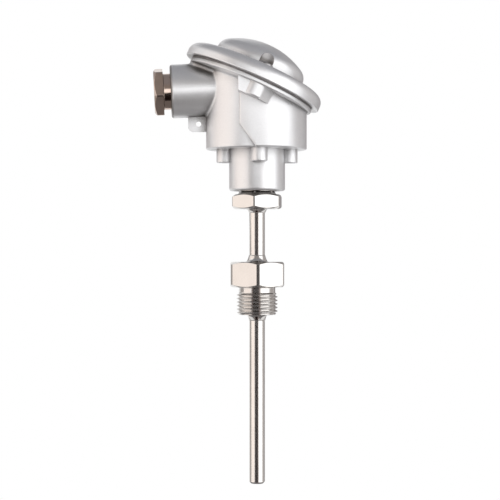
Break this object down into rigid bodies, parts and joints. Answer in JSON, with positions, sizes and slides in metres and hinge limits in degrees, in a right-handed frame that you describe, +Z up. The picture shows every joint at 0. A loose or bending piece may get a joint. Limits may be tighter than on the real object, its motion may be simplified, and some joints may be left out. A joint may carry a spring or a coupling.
{
  "type": "thermocouple with connection head",
  "caption": "Industrial thermocouple: steel-sheathed stem with a threaded process fitting under a cast connection head with a slanted screwed cover and side cable entry.",
  "frame": {"origin": "on the stem axis at the upper end of the process thread, just under its relief groove", "axes": "+Z up the stem towards the head, -X along the cable entry, -Y towards the front cover screw"},
  "size_m": [0.0853, 0.073, 0.2265],
  "materials": {
    "silver_casting": "die-cast aluminium under satin silver paint",
    "stainless_tube": "drawn and polished stainless steel tube",
    "stainless_fitting": "turned and milled stainless steel bar",
    "nickel_plating": "nickel-plated brass, glossy",
    "screw_steel": "zinc-plated steel screws",
    "bar_brass": "machined brass",
    "white_ceramic": "white glazed steatite",
    "bead_ceramic": "unglazed alumina",
    "black_rubber": "moulded black rubber",
    "wire_alloy": "oxidised nickel-alloy wire"
  },
  "bodies": {
    "housing": {"protection_tube": "stainless_tube", "process_fitting": "stainless_fitting", "head_adapter": "stainless_fitting", "head_body": "silver_casting", "cover_gasket": "black_rubber", "gland_seal": "black_rubber", "terminal_block": "white_ceramic", "hot_junction": "wire_alloy", "mounting_screw_far": "screw_steel", "mounting_screw_inlet": "screw_steel", "terminal_bar_negative": "bar_brass", "terminal_bar_positive": "bar_brass", "wire_negative": "wire_alloy", "wire_positive": "wire_alloy", "clamp_screw_negative_far": "screw_steel", "clamp_screw_negative_inlet": "screw_steel", "clamp_screw_positive_far": "screw_steel", "clamp_screw_positive_inlet": "screw_steel", "ceramic_bead_1": "bead_ceramic", "ceramic_bead_2": "bead_ceramic", "ceramic_bead_3": "bead_ceramic", "ceramic_bead_4": "bead_ceramic", "ceramic_bead_5": "bead_ceramic", "ceramic_bead_6": "bead_ceramic", "ceramic_bead_7": "bead_ceramic", "ceramic_bead_8": "bead_ceramic"},
    "cover": {"head_cover": "silver_casting"},
    "front_screw": {"cover_screw_front": "screw_steel"},
    "rear_screw": {"cover_screw_rear": "screw_steel"},
    "gland_follower": {"gland_washer": "nickel_plating"},
    "gland": {"gland_screw": "nickel_plating"}
  },
  "joints": [
    {"name": "cover_lift", "type": "slide", "parent": "housing", "child": "cover", "axis": [0.3987, 0, 0.9171], "range_m": [0, 0.03]},
    {"name": "front_screw_turn", "type": "hinge", "parent": "cover", "child": "front_screw", "pos_m": [0.00239, -0.02691, 0.11248], "axis": [0.3987, 0, 0.9171], "continuous": true},
    {"name": "rear_screw_turn", "type": "hinge", "parent": "cover", "child": "rear_screw", "pos_m": [0.00239, 0.02691, 0.11248], "axis": [0.3987, 0, 0.9171], "continuous": true},
    {"name": "gland_advance", "type": "slide", "parent": "housing", "child": "gland_follower", "axis": [-0.9988, 0, -0.0489], "range_m": [0, 0.00525]},
    {"name": "gland_turn", "type": "hinge", "parent": "gland_follower", "child": "gland", "pos_m": [-0.044, 0, 0.1022], "axis": [-0.9988, 0, -0.0489], "range_deg": [0, 1260]}
  ],
  "couplings": [
    {"joint": "gland_turn", "follows": "gland_advance", "rad_per_m": 4188.8}
  ]
}
